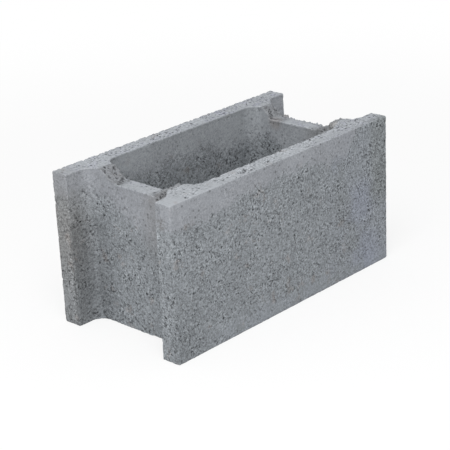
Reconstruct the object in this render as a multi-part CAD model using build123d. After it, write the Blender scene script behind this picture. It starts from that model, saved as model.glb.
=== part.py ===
"""Hollow formwork block of pressed concrete, 50 x 25 x 25 cm.

Two long walls carry the faces of the masonry, and two cross webs hold them apart. The webs stand
back from the ends, so the block has one open cell in the middle and half a cell at each end, and
two blocks laid end to end close one more cell between them. Each web has a shallow saddle in its
top, where reinforcing bars lie and the poured concrete joins up. The whole block is one casting.

Row frame, in millimetres: X along the block, Y across it, Z up, with the origin in the middle of
the underside.
"""

from build123d import *
import math
import os

# Overall size
block_length = 500.0
block_width = 250.0
block_height = 250.0

# Walls and webs, measured at the top face, where they are thinnest
wall_thickness = 30.0
web_thickness = 28.0
end_recess_depth = 50.0

# Every cell wall leans this much, in degrees, so that the cores pull out of the fresh concrete
core_draft = 0.9

# Where a web runs into a long wall, measured at the top face
cell_corner_radius = 25.0

# Saddle in the top of each web
saddle_depth = 18.5
saddle_floor_width = 80.0
saddle_side_angle = 30.0
saddle_floor_blend = 8.0

# Softening of the outer corners, the cell mouths and the saddle's rims
arris_radius = 2.0

# How far a cutting solid runs past the block
overrun = 5.0


def cell_core(length_at_top, centre_x):
    """The tapering core that leaves one cell, with its widest section on the block's top face."""
    cell_width = block_width - 2 * wall_thickness
    mouth = RectangleRounded(length_at_top, cell_width, cell_corner_radius)
    placed = Pos(centre_x, 0, block_height) * mouth
    return extrude(placed, amount=block_height + overrun, dir=(0, 0, -1), taper=core_draft)


def saddle_bar():
    """The bar that presses both saddles, a flat floor between two sloping sides."""
    side_slope = math.tan(math.radians(saddle_side_angle))
    floor_z = block_height - saddle_depth
    top_z = block_height + overrun
    half_floor = saddle_floor_width / 2
    half_top = half_floor + (top_z - floor_z) / side_slope
    corners = [(-half_floor, floor_z), (half_floor, floor_z), (half_top, top_z), (-half_top, top_z)]
    section = Plane.YZ * make_face(Polyline(*corners, close=True))
    bar = extrude(section, amount=block_length / 2 - arris_radius, both=True)
    floor_edges = bar.edges().filter_by(Axis.X).group_by(Axis.Z)[0]
    return fillet(floor_edges, saddle_floor_blend)


def concrete_block():
    """The solid block less its cells and saddles, with the arrises softened."""
    block = Pos(0, 0, block_height / 2) * Box(block_length, block_width, block_height)
    middle_cell_length = block_length - 2 * (end_recess_depth + web_thickness)
    block -= cell_core(middle_cell_length, 0)
    for end in (-1, 1):
        block -= cell_core(2 * end_recess_depth, end * block_length / 2)
    block = fillet(block.edges(), arris_radius)
    saddled = block - saddle_bar()
    rims = new_edges(block, saddle_bar(), combined=saddled).filter_by(Axis.X, reverse=True)
    return fillet(rims, arris_radius)


os.makedirs("parts", exist_ok=True)
export_step(concrete_block(), "parts/concrete_block.step")
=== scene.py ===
import bmesh
import bpy
import math
import numpy as np
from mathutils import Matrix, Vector, noise


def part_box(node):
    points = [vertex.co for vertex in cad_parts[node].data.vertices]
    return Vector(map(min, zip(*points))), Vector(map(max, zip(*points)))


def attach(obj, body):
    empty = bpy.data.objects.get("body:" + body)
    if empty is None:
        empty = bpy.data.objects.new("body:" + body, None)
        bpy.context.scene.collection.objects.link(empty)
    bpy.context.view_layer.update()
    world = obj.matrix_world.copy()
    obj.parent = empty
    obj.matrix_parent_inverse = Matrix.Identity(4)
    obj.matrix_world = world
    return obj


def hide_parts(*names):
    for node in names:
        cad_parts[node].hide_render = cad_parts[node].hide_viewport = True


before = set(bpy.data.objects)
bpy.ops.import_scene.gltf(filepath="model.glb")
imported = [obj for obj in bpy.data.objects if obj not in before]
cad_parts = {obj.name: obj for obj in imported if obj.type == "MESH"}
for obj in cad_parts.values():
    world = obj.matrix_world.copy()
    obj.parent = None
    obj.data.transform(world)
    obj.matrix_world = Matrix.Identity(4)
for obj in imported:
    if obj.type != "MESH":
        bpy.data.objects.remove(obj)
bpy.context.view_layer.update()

# The casting
# One piece of semi-dry concrete, shaken and pressed in a steel mould and pushed out while green.
# The mould leaves flat faces full of open pores, with a smoother skin along the top, and the
# arrises and the saddles' slopes crumble before the block has set.

block_node = "concrete_block"
block_low, block_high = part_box(block_node)
block_top = block_high.z

facet_size = 0.0013
triangle_limit = 195000

# Planes of the casting at its top face, as distances from its middle, and its walls' thickness
half_width = 0.125
wall_thickness = 0.030
wall_inside = 0.095
web_inside = 0.172
web_outside = 0.200

# A saddle's even section: the height of its floor, and how far out its slopes start and end
saddle_floor = 0.2315
saddle_foot = 0.040
saddle_rim = 0.072


def plain_copy(node, name):
    """The node's own surface with its loose triangles joined, as a new object."""
    shape = bmesh.new()
    shape.from_mesh(node.data)
    bmesh.ops.remove_doubles(shape, verts=shape.verts, dist=1e-5)
    mesh = bpy.data.meshes.new(name)
    shape.to_mesh(mesh)
    shape.free()
    piece = bpy.data.objects.new(name, mesh)
    bpy.context.scene.collection.objects.link(piece)
    return piece


def run_modifier(piece, kind, settings):
    """The piece as it looks through one more modifier."""
    modifier = piece.modifiers.new(kind.lower(), kind)
    for name, value in settings.items():
        setattr(modifier, name, value)
    return piece.evaluated_get(bpy.context.evaluated_depsgraph_get())


def settle(piece, kind, **settings):
    """Runs one modifier over the piece and keeps its result as the piece's mesh."""
    old = piece.data
    piece.data = bpy.data.meshes.new_from_object(run_modifier(piece, kind, settings))
    piece.modifiers.clear()
    bpy.data.meshes.remove(old)


def vertex_rows(mesh, field):
    """One vector of every vertex, as rows of a numpy array."""
    values = np.empty(len(mesh.vertices) * 3, np.float32)
    mesh.vertices.foreach_get(field, values)
    return values.reshape(-1, 3).astype(float)


def proudness(piece, rounds):
    """How far each vertex stands out of the same surface rubbed down, in metres."""
    settings = {"factor": 0.5, "iterations": rounds}
    rubbed = vertex_rows(run_modifier(piece, "SMOOTH", settings).data, "co")
    piece.modifiers.clear()
    out = vertex_rows(piece.data, "co") - rubbed
    return np.einsum("ij,ij->i", out, vertex_rows(piece.data, "normal"))


def ramp(low, high, values):
    """0 below low, 1 above high and smooth between them."""
    share = np.clip((values - low) / (high - low), 0, 1)
    return share * share * (3 - 2 * share)


def grain(points, wavelength, seed, octaves=1):
    """Noise from about -1 to 1 that repeats nowhere."""
    shift = Vector((seed * 7.31, seed * 3.77, seed * 5.13))
    if octaves == 1:
        values = [noise.noise(point / wavelength + shift) for point in points]
    else:
        values = [noise.fractal(point / wavelength + shift, 0.8, 2.1, octaves) for point in points]
    return np.array(values)


def pores(points, spacing, seed):
    """Round hollows scattered over the surface: 1 at the middle of one, 0 outside them."""
    shift = Vector((seed * 4.19, seed * 6.53, seed * 2.87))
    depth = []
    for point in points:
        distances, centres = noise.voronoi(point / spacing + shift)
        size = 0.5 + 0.5 * noise.cell(centres[0] * 37.0)
        reach = 0.16 + 0.34 * max(0.0, size - 0.45)
        depth.append(max(0.0, 1 - distances[0] / reach) if size > 0.45 else 0.0)
    return np.array(depth)


def saddle_change(x, y):
    """How far a saddle's real slope lies above or below its even one, in metres."""
    even = np.interp(np.abs(y), [saddle_foot, saddle_rim], [saddle_floor, block_top])
    outer = ramp(web_inside, web_outside, np.abs(x))
    near_cell = np.interp(y, [0.046, 0.057, 0.067], [saddle_floor, 0.2370, block_top])
    near_end = np.interp(y, [0.034, 0.056, 0.068], [saddle_floor, 0.2375, block_top])
    far_cell = np.interp(y, [0.057, 0.072], [saddle_floor, block_top])
    far_end = np.interp(y, [0.047, 0.062, 0.077], [saddle_floor, 0.2365, block_top])
    near = near_cell + outer * (near_end - near_cell)
    far = far_cell + outer * (far_end - far_cell)
    worn_rim = -0.0014 * ramp(0.190, web_outside, x)
    worn_rim = worn_rim * ramp(-0.055, -0.045, y) * (1 - ramp(0.050, 0.060, y))
    far_slope = (x > 0) * (1 - ramp(web_inside, 0.186, x))
    broken_rim = -0.0075 * far_slope * ramp(-0.090, -0.078, y) * (1 - ramp(-0.062, -0.046, y))
    askew = y - 0.75 * (x - web_inside)
    notch = -0.0013 * ramp(0.165, 0.170, x)
    notch = notch * ramp(-0.071, -0.068, askew) * (1 - ramp(-0.060, -0.050, askew))
    return np.where(y > 0, np.where(x < 0, near, far) - even, 0) + worn_rim + broken_rim + notch


block = plain_copy(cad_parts[block_node], "pressed_block")
settle(block, "REMESH", mode="VOXEL", voxel_size=facet_size, adaptivity=0)

# Saddles: some slopes came out steeper or shallower than the bar's own, and some broke away. The
# cell corner between the near web and the front wall is fuller than the others.
place = vertex_rows(block.data, "co")
x, y, z = place.T
in_web = ramp(0.150, 0.160, np.abs(x)) * (1 - ramp(0.212, 0.222, np.abs(x)))
place[:, 2] += saddle_change(x, y) * in_web * ramp(0.190, 0.228, z)
fill_reach = 0.017
fill_amount = 0.0055
fill = np.exp(-(((x + 0.2100) ** 2 + (y + 0.0850) ** 2) / fill_reach**2)) * ramp(0.10, 0.24, z)
place += fill_amount * fill[:, None] * np.array([-1.0, 1.0, 0.0])
block.data.vertices.foreach_set("co", place.astype(np.float32).ravel())
block.data.update()

place = vertex_rows(block.data, "co")
outward = vertex_rows(block.data, "normal")
points = [Vector(row) for row in place]
x, y, z = place.T
depth = block_top - z
side_on = 1 - np.abs(outward[:, 2])
faces_up = ramp(0.5, 0.9, outward[:, 2])

# Masks of the places that the mould and the handling treat differently
arris_proudness = 0.00023
arris = np.clip(proudness(block, rounds=12) / arris_proudness, 0, 1.5)
skin = 1 - ramp(0.020, 0.045, depth + 0.012 * grain(points, 0.06, seed=3, octaves=2))
spared = 1 - (0.35 + 0.45 * ramp(0.120, 0.160, -x)) * (y < 0)
on_top = faces_up * ramp(0.2475, 0.2490, z)
far_off = np.abs(y)
in_saddle = ramp(0.158, 0.166, np.abs(x)) * (1 - ramp(0.206, 0.210, np.abs(x)))
in_saddle *= ramp(saddle_floor - 0.005, saddle_floor - 0.001, z) * ramp(0.1, 0.4, outward[:, 2])
slope = ramp(saddle_floor + 0.0008, saddle_floor + 0.0035, z) * (1 - ramp(0.0740, 0.0790, far_off))
slope *= in_saddle * ramp(0.025, 0.035, far_off)
foot = np.exp(-(((z - saddle_floor - 0.0012) / 0.0014) ** 2)) * in_saddle * ramp(0.025, 0.032, far_off)
foot *= 1 - 0.25 * (x < 0) * (y > 0)

# Arrises: clean on the side of each wall that faces -Y, crumbly and chipped on the other
wall_share = np.clip(np.where(y > 0, y - wall_inside, y + half_width) / wall_thickness, 0, 1)
wall_share = np.where(far_off > 0.088, wall_share, 0.5)
near_top = ramp(0.232, 0.245, z)
stretches = ramp(-0.15, 0.45, grain(points, 0.07, seed=11))
handled = (0.30 + wall_share * (0.30 + 0.60 * near_top)) * (0.60 + 0.80 * stretches)
handled += 0.35 * ramp(0.150, 0.190, x) * in_saddle
broken = ramp(0.05, 0.60, grain(points, 0.0085, seed=1, octaves=2))
crumbs = grain(points, 0.0036, seed=2, octaves=2)
cut = arris * (0.0013 * handled * broken + (0.0001 + 0.0009 * handled) * crumbs - 0.0006)
chipped = 1 - ramp(0.001, 0.006, np.hypot(y - half_width, z - block_top))
chipped += 0.18 * (1 - ramp(0.001, 0.005, np.hypot(y + wall_inside, z - block_top)))
chips = ramp(0.00, 0.50, grain(points, 0.0075, seed=15, octaves=2))
cut += 0.0028 * chipped * (0.50 + 0.50 * stretches) * chips

# The far saddle's outer rim: ragged along its floor and up both slopes
rim_distance = np.hypot(x - web_outside, z - saddle_floor + 0.001)
rim = (1 - ramp(0.001, 0.008, rim_distance)) * (1 - ramp(0.055, 0.065, far_off))
rim = np.maximum(rim, (1 - ramp(0.001, 0.007, np.abs(x - web_outside))) * slope)
cut += 0.0032 * rim * grain(points, 0.0055, seed=16, octaves=2)

# Saddle slopes: torn as the bar was drawn out, with a crevice along the foot
lumps = grain(points, 0.0095, seed=12, octaves=2)
cut += slope * (0.0002 + 0.0022 * lumps + 0.0010 * crumbs)
crevice = foot * ramp(-0.1, 0.5, grain(points, 0.013, seed=13))
cut += 0.0026 * crevice
cut += slope * 0.0026 * pores(points, 0.0075, seed=14)

# Holes and loose lumps, most of them on the saddles' slopes and one in the front wall's top: middle,
# radius and depth, which is negative for a lump
lump = np.zeros(len(z))
for middle, radius, sunk in (
    ((-0.126, -0.1110, 0.2500), 0.0034, 0.0032),
    ((-0.200, -0.0600, 0.2360), 0.0060, 0.0033),
    ((-0.200, -0.0670, 0.2420), 0.0050, 0.0022),
    ((-0.200, -0.0545, 0.2315), 0.0050, 0.0022),
    ((-0.200, -0.0485, 0.2265), 0.0045, 0.0014),
    ((-0.194, 0.048, 0.2325), 0.0042, 0.0024),
    ((-0.184, 0.052, 0.2345), 0.0042, 0.0022),
    ((-0.188, 0.043, 0.2320), 0.0042, 0.0020),
    ((-0.179, 0.043, 0.2320), 0.0042, 0.0024),
    ((-0.172, 0.048, 0.2345), 0.0045, -0.0035),
    ((-0.197, 0.066, 0.2460), 0.0055, 0.0022),
    ((-0.178, 0.064, 0.2450), 0.0045, 0.0022),
    ((-0.189, 0.071, 0.2495), 0.0060, 0.0018),
    ((-0.167, 0.072, 0.2470), 0.0045, 0.0022),
    ((-0.171, 0.052, 0.2400), 0.0050, 0.0022),
    ((0.200, 0.046, 0.2305), 0.0070, -0.0042),
    ((0.1825, 0.0695, 0.2470), 0.0055, 0.0030),
    ((0.182, 0.0655, 0.2415), 0.0060, 0.0035),
    ((0.1795, 0.0615, 0.2370), 0.0060, 0.0030),
    ((0.174, -0.054, 0.2345), 0.0080, 0.0042),
):
    near = 1 - ramp(0.2, 1.0, np.linalg.norm(place - np.array(middle), axis=1) / radius)
    cut += sunk * near * (0.8 + 0.8 * crumbs)
    slope = np.maximum(slope, near)
    if sunk > 0:
        crevice = np.maximum(crevice, near * ramp(-0.5, 0.3, crumbs))
    else:
        lump = np.maximum(lump, near)

# Top faces: clusters of pits where the paste didn't close
clusters = ramp(-0.15, 0.30, grain(points, 0.024, seed=8, octaves=2))
clusters *= 0.22 + 0.78 * ramp(0.20, 0.50, wall_share + 0.10 * (y > 0))
drawn = [Vector((0.5 * row[0], row[1], row[2])) for row in place]
cut += on_top * spared * clusters * 0.0033 * pores(drawn, 0.0070, seed=7)

# Places in the front wall's top that were torn open: where along and across, and radius
torn_open = np.zeros(len(z))
for along, across, radius in (
    (-0.206, -0.117, 0.0075),
    (-0.189, -0.117, 0.0060),
    (-0.134, -0.105, 0.0040),
    (-0.126, -0.111, 0.0040),
    (-0.083, -0.112, 0.0105),
    (-0.068, -0.110, 0.0100),
    (-0.051, -0.105, 0.0060),
    (-0.024, -0.110, 0.0100),
    (0.040, -0.107, 0.0060),
    (0.059, -0.110, 0.0100),
    (0.106, -0.118, 0.0050),
    (0.180, -0.110, 0.0080),
):
    share_out = np.hypot(x - along, y - across) / radius
    torn_open = np.maximum(torn_open, 1 - ramp(0.5, 1.1, share_out))
cut += on_top * torn_open * 0.0042 * ramp(-0.12, 0.28, grain(drawn, 0.0042, seed=17))
cut += on_top * spared * 0.00045 * (0.3 + clusters) * np.maximum(grain(points, 0.006, seed=9, octaves=2), 0)

# All faces: open grain, single larger pores and a faint undulation
rough = 1 - 0.75 * skin * side_on
cut += 0.00016 * rough * (1 + grain(points, 0.0040, seed=4, octaves=2))
cut += 0.0008 * rough * (1 - on_top) * pores(points, 0.0085, seed=5)
cut += 0.00012 * (1 + grain(points, 0.05, seed=6))

proud_limit = 0.0020 * slope + 0.0010 * np.clip(arris, 0, 1) + 0.0020 * rim + 0.0038 * lump
place -= outward * np.maximum(cut, -proud_limit)[:, None]

# Nothing may stand out of the solid's own box
inside = 0.00012
place = np.clip(place, np.array(block_low) + inside, np.array(block_high) - inside)
block.data.vertices.foreach_set("co", place.astype(np.float32).ravel())
block.data.update()

# What the finish needs to know of the shape
hollow_depth = 0.00030
# hollow: depth below the surface rubbed down, plus the crevices; the finish paints painted shade into hollows
# and crevices and a painted highlight onto proud places
hollow = np.clip(-proudness(block, rounds=4) / hollow_depth + 0.75 * crevice, -1, 1)
for name, values in {"hollow": hollow, "torn": np.clip(slope + foot, 0, 1)}.items():
    field = block.data.attributes.new(name, "FLOAT", "POINT")
    field.data.foreach_set("value", values.astype(np.float32))

settle(block, "TRIANGULATE")
settle(block, "DECIMATE", ratio=min(1.0, triangle_limit / len(block.data.polygons)))
block.data.polygons.foreach_set("use_smooth", [True] * len(block.data.polygons))


class Field:
    """A value, colour or vector over the concrete. Sums and products of values add their nodes."""

    def __init__(self, tree, socket=None):
        self.tree = tree
        self.socket = socket

    def node(self, kind, settings, sockets, output=0):
        """Adds a node with its settings first and then its sockets' values or links."""
        made = self.tree.nodes.new(kind)
        for name, value in settings.items():
            setattr(made, name, value)
        for name, value in sockets.items():
            if isinstance(value, Field):
                self.tree.links.new(value.socket, made.inputs[name])
            else:
                made.inputs[name].default_value = value
        return Field(self.tree, made.outputs[output] if made.outputs else None)

    def maths(self, operation, first, second):
        return self.node("ShaderNodeMath", {"operation": operation}, {0: first, 1: second})

    def __add__(self, other):
        return self.maths("ADD", self, other)

    def __sub__(self, other):
        return self.maths("SUBTRACT", self, other)

    def __rsub__(self, other):
        return self.maths("SUBTRACT", other, self)

    def __mul__(self, other):
        return self.maths("MULTIPLY", self, other)

    __radd__ = __add__
    __rmul__ = __mul__

    def size(self):
        """The value without its sign."""
        return self.node("ShaderNodeMath", {"operation": "ABSOLUTE"}, {0: self})

    def rise(self, low, high):
        """0 below low, 1 above high and smooth between them."""
        sockets = {"Value": self, "From Min": low, "From Max": high}
        return self.node("ShaderNodeMapRange", {"interpolation_type": "SMOOTHSTEP"}, sockets)

    def part(self, axis):
        """One coordinate of a vector: 0, 1 or 2."""
        return self.node("ShaderNodeSeparateXYZ", {}, {0: self}, axis)

    def vector(self, operation, other):
        """Vector maths with one more vector; a distance comes out as a value."""
        output = 1 if operation == "DISTANCE" else 0
        return self.node("ShaderNodeVectorMath", {"operation": operation}, {0: self, 1: other}, output)

    def near(self, place, inner, outer):
        """1 within the inner distance of a place, 0 beyond the outer one."""
        return 1 - self.vector("DISTANCE", place).rise(inner, outer)

    def noise(self, wavelength, octaves=2.0, roughness=0.55, shift=(0, 0, 0)):
        """Noise from 0 to 1, mostly near 0.5, whose waves are about that many metres long."""
        place = self.vector("ADD", shift)
        sockets = {"Vector": place, "Scale": 1 / wavelength, "Detail": octaves, "Roughness": roughness}
        return self.node("ShaderNodeTexNoise", {}, sockets)

    def spots(self, spacing, shift=(0, 0, 0)):
        """Distance to the nearest of many scattered points, in spacings, and that point's own number."""
        sockets = {"Vector": self.vector("ADD", shift), "Scale": 1 / spacing}
        distance = self.node("ShaderNodeTexVoronoi", {}, sockets, "Distance")
        number = Field(self.tree, distance.socket.node.outputs["Color"])
        return distance, number.node("ShaderNodeSeparateColor", {}, {0: number}, 0)

    def tinted(self, colour, share):
        """The first colour turned towards another one by a share."""
        settings = {"data_type": "RGBA", "blend_type": "MIX"}
        return self.node("ShaderNodeMix", settings, {0: share, 6: self, 7: colour}, 2)

    def times(self, factor):
        """A colour made lighter or darker."""
        return self.node("ShaderNodeVectorMath", {"operation": "SCALE"}, {0: self, "Scale": factor})


def concrete_finish():
    """Grey cement paste with open pores painted dark as the shade inside them, pale sand grains and a
    smoother skin along the top.
    """
    material = bpy.data.materials.new("pressed_concrete")
    material.use_nodes = True
    tree = material.node_tree
    tree.nodes.clear()
    start = Field(tree)
    here = start.node("ShaderNodeTexCoord", {}, {}, "Object")
    facing = start.node("ShaderNodeTexCoord", {}, {}, "Normal")
    hollow = start.node("ShaderNodeAttribute", {"attribute_name": "hollow"}, {}, "Fac")
    torn = start.node("ShaderNodeAttribute", {"attribute_name": "torn"}, {}, "Fac")
    along, across, height = (here.part(axis) for axis in range(3))
    level = facing.part(2).rise(0.45, 0.80) * (1 - 0.75 * torn)
    low_down = (block_top - height).rise(0.010, 0.016)
    pressed = level * (low_down + along.rise(-0.205, -0.222) * (1 - low_down))

    # The smoother skin, whose lower edge wanders and frays: deeper on the webs, in the recesses and in
    # the cell, shallower towards the far end, and gone at the front's far end
    web_face = facing.part(0).size().rise(0.5, 0.8) * (1 - across.size().rise(0.090, 0.096))
    drift = here.noise(0.055, 2.0)
    fray = here.noise(0.009, 2.0, 0.65, (0.8, 0.2, 0.5))
    web_depth = web_face * (1 - across.rise(-0.030, 0.070))
    in_cell = (1 - across.size().rise(0.094, 0.099)) * (1 - along.size().rise(0.168, 0.176))
    on_front = 1 - across.rise(-0.120, -0.110)
    skin_height = 0.0275 - 0.036 * along + 0.050 * web_depth + 0.003 * in_cell
    skin_height = skin_height + 0.009 * in_cell * along.rise(-0.060, 0.030)
    skin_height = skin_height + 0.014 * along.rise(0.050, 0.100)
    skin_height = skin_height - 0.048 * on_front * along.rise(0.135, 0.185)
    wander = 0.040 * (1 - 0.6 * in_cell) * (drift - 0.5) + 0.040 * (fray - 0.5)
    below = block_top - height - skin_height + wander
    in_recess = (1 - across.size().rise(0.0945, 0.0960)) * along.size().rise(0.190, 0.194)
    below = below * (1 - 0.72 * in_recess) * (1 - 0.68 * in_cell)
    skin = (1 - below.rise(-0.004, 0.009)) * (1 - level)

    # Grit, from single sand grains up to clouds as wide as a hand
    sand = here.noise(0.0019, 1.0, 0.5)
    grit = here.noise(0.0034, 2.0, 0.6, (1.3, 0.7, 2.1))
    gaps = here.noise(0.0048, 2.0, 0.6, (0.3, 1.9, 0.6))
    clumps = here.noise(0.0120, 2.0, 0.6, (2.3, 0.1, 1.4))
    clouds = here.noise(0.0450, 2.0, 0.5, (0.9, 1.1, 0.3))
    open_gaps = (1 - gaps.rise(0.36, 0.50)) * clumps.rise(0.36, 0.60)
    calm = level * ((1 - across.rise(0.098, 0.106)) * across.rise(0, 0.010) + 1 - across.rise(-0.119, -0.108))
    calm = calm + 0.8 * level * (1 - across.rise(-0.090, -0.080)) * (1 - along.rise(-0.160, -0.110))
    foot_band = on_front * (1 - height.rise(0.012, 0.045)) * along.rise(-0.20, -0.12)
    coarse = (1 - 0.66 * skin) * (1 - 0.55 * pressed) * (1 - 0.45 * calm) * (1 - 0.40 * foot_band)

    speckle = 1.5 * (sand - 0.5) + 1.8 * (grit - 0.5) + 0.8 * (clumps - 0.5)
    spells = here.noise(0.030, 2.0, 0.5, (1.7, 0.4, 2.6)).rise(0.40, 0.62)
    # The open gaps painted dark, as painted shade inside the pores
    speckle = speckle * (1 - 0.30 * level) - (0.62 + 0.35 * level) * open_gaps
    speckle = speckle * (0.82 + 0.42 * spells)
    tone = 1 + coarse * (speckle + 0.08) + 0.30 * (clouds - 0.5)
    # Painted shade in the pits and crevices; the torn slopes a little darker too
    pit_shade = hollow.rise(0.05, 0.95)
    tone = tone * (1 - 0.60 * pit_shade) * (1 - 0.17 * torn)

    # Single larger pores in the skin, painted dark as the shade inside them
    distance, number = here.spots(0.011)
    single = (1 - distance.rise(0.10, 0.24)) * number.rise(0.40, 0.50) * skin
    tone = tone * (1 - 0.42 * single)

    # Painted light and shade, and other marks: painted shade in the recess at the near end and on the web
    # beside the back wall; on the front wall's near end face a painted highlight along its arris, a lighter
    # band and a stain; painted shade on the webs beside the front wall; the front's foot lighter and its low
    # corner darker; the proud arrises lighter, as partly rubbed paste and partly a painted highlight; the
    # near end of the back wall darker
    inward = facing.part(1).size().rise(0.4, 0.8) * (1 - across.size().rise(0.097, 0.099))
    # Painted shade in the recess at the near end: darker low down, a little lighter near its top
    recess_shade = inward * (1 - along.rise(-0.210, -0.200))
    lower = 1 - height.rise(0.140, 0.185)
    # Painted shade on the web beside the back wall, low in the recess
    recess_side_shade = across.rise(0.030, 0.075) + 0.6 * across.rise(0.065, 0.085)
    recess_side_shade = recess_side_shade * (1 - along.rise(-0.205, -0.195)) * (1 - across.rise(0.095, 0.097))
    recess_side_shade = recess_side_shade * (1 - 0.8 * inward) * lower
    on_end = (1 - along.rise(-0.2480, -0.2455)) * (1 - across.rise(-0.080, -0.070))
    # A painted highlight along the inner arris of the front wall's near end face
    arris_highlight_line = on_end * across.rise(-0.1000, -0.0970) * height.rise(0.120, 0.190)
    end_light = on_end * height.rise(0.150, 0.175) * (1 - height.rise(0.200, 0.215))
    stain = here.near((-0.250, -0.105, 0.2180), 0.003, 0.014) * (1 - gaps.rise(0.42, 0.60))
    # Painted shade on the upper webs beside the front wall, which are also tinted brown
    web_shade_and_brown = web_face * (1 - across.rise(-0.040, -0.005)) * height.rise(0.100, 0.180)
    low_corner = (1 - along.rise(-0.235, -0.165)) * (1 - height.rise(0.050, 0.140)) * on_front
    # Proud arrises and crumbs, lighter: partly paste rubbed smooth, partly a painted highlight
    rubbed = hollow.rise(-0.45, -1.00) * (1 - torn)
    corner = (1 - along.rise(-0.245, -0.190)) * across.rise(0.050, 0.105)
    # Painted shade in the recess and on the web beside the back wall
    tone = tone * (1 + recess_shade * (0.08 - 0.21 * lower + 0.03 * skin)) * (1 - 0.18 * recess_side_shade)
    # Painted shade on the webs beside the front wall, a painted highlight along the end face's arris, a
    # lighter band and a stain on the end face
    tone = tone * (1 - 0.09 * web_shade_and_brown) * (1 + 0.12 * arris_highlight_line) * (1 + 0.09 * end_light) * (1 - 0.30 * stain)
    # Lighter along the front's foot, darker at its low corner, and the proud arrises lighter as rubbed paste
    # and painted highlight
    tone = tone * (1 + 0.10 * foot_band) * (1 - 0.13 * low_corner) * (1 + 0.20 * rubbed)
    tone = tone * (1 - 0.05 * corner * (1 - height.rise(0.205, 0.235)))

    # Where the tints lie: bluish patches and damp towards the front's far end, lilac on the tops, brown
    # at the near end of the back wall, rusty patches, rubble at the far saddle, and a painted highlight on a
    # crumb there
    blue = here.near((0.180, -0.125, 0.120), 0.015, 0.055) + here.near((0.192, -0.125, 0.034), 0.015, 0.055)
    blue = blue + 0.8 * here.near((0.119, -0.125, 0.205), 0.003, 0.022)
    blue = blue + 0.30 * along.rise(0.060, 0.150) + 0.30 * foot_band
    blue = blue * on_front * clouds.rise(0.30, 0.55)
    lilac = across.rise(-0.090, 0.090) + along.rise(0.000, 0.150)
    damp = along.rise(0.195, 0.220) * height.rise(0.090, 0.130) * on_front
    brown = corner * (1 - 0.6 * height.rise(0.205, 0.235))
    brown = 0.38 * brown * (0.65 + 0.35 * height.rise(0.030, 0.130))
    brown_band = 0.15 * corner * height.rise(0.080, 0.150) * (1 - height.rise(0.170, 0.210))
    rusty = here.noise(0.024, 3.0, 0.6, (1.1, 0.4, 0.9)).rise(0.60, 0.70) * (1 - along.rise(0.120, 0.160))
    rubble = here.near((0.173, 0.047, 0.228), 0.007, 0.018) + here.near((0.200, 0.046, 0.232), 0.003, 0.009)
    # A painted highlight on the broken crumb at the far saddle's front slope
    pale = here.near((0.178, -0.0710, 0.2435), 0.005, 0.013)

    # The paste's own grey, each tint laid over the ones before it, and the grey of a painted highlight
    open_grey = (0.220, 0.236, 0.251, 1)
    skin_grey = (0.276, 0.288, 0.310, 1)
    cell_grey = (0.330, 0.350, 0.370, 1)
    top_grey = (0.332, 0.350, 0.373, 1)
    lilac_grey = (0.300, 0.312, 0.356, 1)
    blue_grey = (0.214, 0.231, 0.276, 1)
    brown_grey = (0.225, 0.216, 0.204, 1)
    torn_grey = (0.262, 0.256, 0.244, 1)
    damp_grey = (0.186, 0.201, 0.201, 1)
    rust = (0.235, 0.205, 0.190, 1)
    rubble_brown = (0.240, 0.218, 0.210, 1)
    crumb_highlight_grey = (0.370, 0.370, 0.366, 1)
    paste = start.node("ShaderNodeRGB", {}, {})
    paste.socket.default_value = open_grey
    paste = paste.tinted(skin_grey, 0.90 * skin)
    paste = paste.tinted(cell_grey, 0.80 * in_cell * skin)
    paste = paste.tinted(top_grey, level)
    paste = paste.tinted(lilac_grey, 0.55 * level * clumps.rise(0.50, 0.62) * lilac)
    paste = paste.tinted(blue_grey, 0.50 * blue)
    paste = paste.tinted(brown_grey, brown + brown_band + 0.25 * web_shade_and_brown + 0.45 * stain)
    paste = paste.tinted(torn_grey, 0.15 * torn)
    paste = paste.tinted(damp_grey, 0.50 * damp)
    paste = paste.tinted(rust, (0.35 - 0.20 * skin) * rusty)
    paste = paste.tinted(rubble_brown, 0.50 * rubble)
    # A painted highlight on that crumb
    paste = paste.tinted(crumb_highlight_grey, 0.80 * pale)
    colour = paste.times(tone)

    # Relief too fine for the mesh
    relief = coarse * (0.5 * grit + 0.35 * sand - 0.8 * open_gaps) + 0.4 * torn * grit
    bump = start.node("ShaderNodeBump", {}, {"Strength": 0.8, "Distance": 0.0007, "Height": relief})

    shader = start.node(
        "ShaderNodeBsdfPrincipled",
        {},
        {"Base Color": colour, "Roughness": 0.92, "Specular IOR Level": 0.25, "Normal": bump},
    )
    start.node("ShaderNodeOutputMaterial", {}, {"Surface": shader})
    return material


block.data.materials.clear()
block.data.materials.append(concrete_finish())
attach(block, "root")
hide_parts(block_node)

# The studio
# A white floor that keeps the block's soft shadow, an even white surround and one large soft lamp
# above the viewer's left shoulder.

floor_reach = 6.0
floor_glow = 0.78
glow_near = 0.5
glow_far = 1.8


def seen_directly(start):
    """1 for the camera's own rays and for reflections and refractions, 0 for light on the object."""
    rays = [start.node("ShaderNodeLightPath", {}, {}, f"Is {kind} Ray") for kind in
            ("Camera", "Glossy", "Transmission")]
    return rays[0].maths("MAXIMUM", rays[0], rays[1].maths("MAXIMUM", rays[1], rays[2]))


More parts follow.
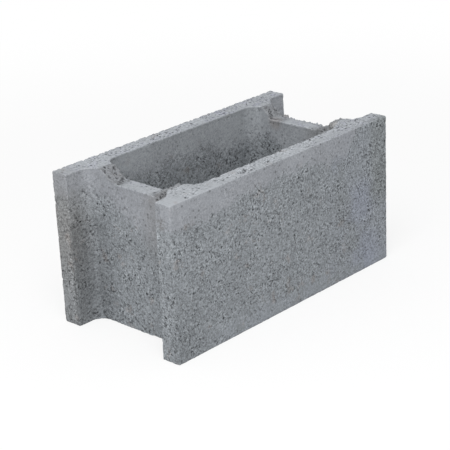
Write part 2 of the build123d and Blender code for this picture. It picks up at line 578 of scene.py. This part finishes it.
def white_floor():
    """A matt floor that also glows to the eye, wholly so in the distance, so that no horizon shows."""
    shape = bmesh.new()
    bmesh.ops.create_grid(shape, x_segments=1, y_segments=1, size=floor_reach)
    mesh = bpy.data.meshes.new("studio_floor")
    shape.to_mesh(mesh)
    shape.free()
    floor = bpy.data.objects.new("studio_floor", mesh)
    bpy.context.scene.collection.objects.link(floor)
    material = bpy.data.materials.new("white_floor")
    material.use_nodes = True
    material.node_tree.nodes.clear()
    start = Field(material.node_tree)
    matt = start.node("ShaderNodeBsdfDiffuse", {}, {"Color": (0.86, 0.86, 0.86, 1)})
    glow = start.node("ShaderNodeEmission", {}, {"Color": (1, 1, 1, 1), "Strength": 1.0})
    place = start.node("ShaderNodeTexCoord", {}, {}, "Object")
    share = floor_glow + (1 - floor_glow) * (1 - place.near((0, 0, 0), glow_near, glow_far))
    sockets = {0: share * seen_directly(start), 1: matt, 2: glow}
    mixed = start.node("ShaderNodeMixShader", {}, sockets)
    start.node("ShaderNodeOutputMaterial", {}, {"Surface": mixed})
    mesh.materials.append(material)
    return floor


white_floor()

world = bpy.data.worlds.new("studio")
world.use_nodes = True
world.node_tree.nodes.clear()
surround = Field(world.node_tree)
surround_strength = 0.66
strength = surround_strength + (1 - surround_strength) * seen_directly(surround)
sky = surround.node("ShaderNodeBackground", {}, {"Color": (1, 1, 1, 1), "Strength": strength})
surround.node("ShaderNodeOutputWorld", {}, {"Surface": sky})
bpy.context.scene.world = world

lamp = bpy.data.lights.new("soft_box", "AREA")
lamp.shape = "SQUARE"
lamp.size = 1.6
lamp.energy = 44
soft_box = bpy.data.objects.new("soft_box", lamp)
bpy.context.scene.collection.objects.link(soft_box)
lamp_place = Vector((-1.25, -0.90, 2.10))
soft_box.location = lamp_place
soft_box.rotation_euler = (Vector((0, 0, 0.1)) - lamp_place).to_track_quat("-Z", "Y").to_euler()

# The viewpoint, beyond the block's near front corner and above it
camera_data = bpy.data.cameras.new("viewpoint")
camera_data.sensor_width = 36.0
camera_data.lens = 118.75
camera_data.clip_end = 50.0
viewpoint = bpy.data.objects.new("viewpoint", camera_data)
viewpoint.location = (-1.5928, -1.5196, 0.9979)
viewpoint.rotation_euler = [math.radians(turn) for turn in (68.028, 2.620, -47.232)]
bpy.context.scene.collection.objects.link(viewpoint)
bpy.context.scene.camera = viewpoint

bpy.context.scene.view_settings.view_transform = "Standard"
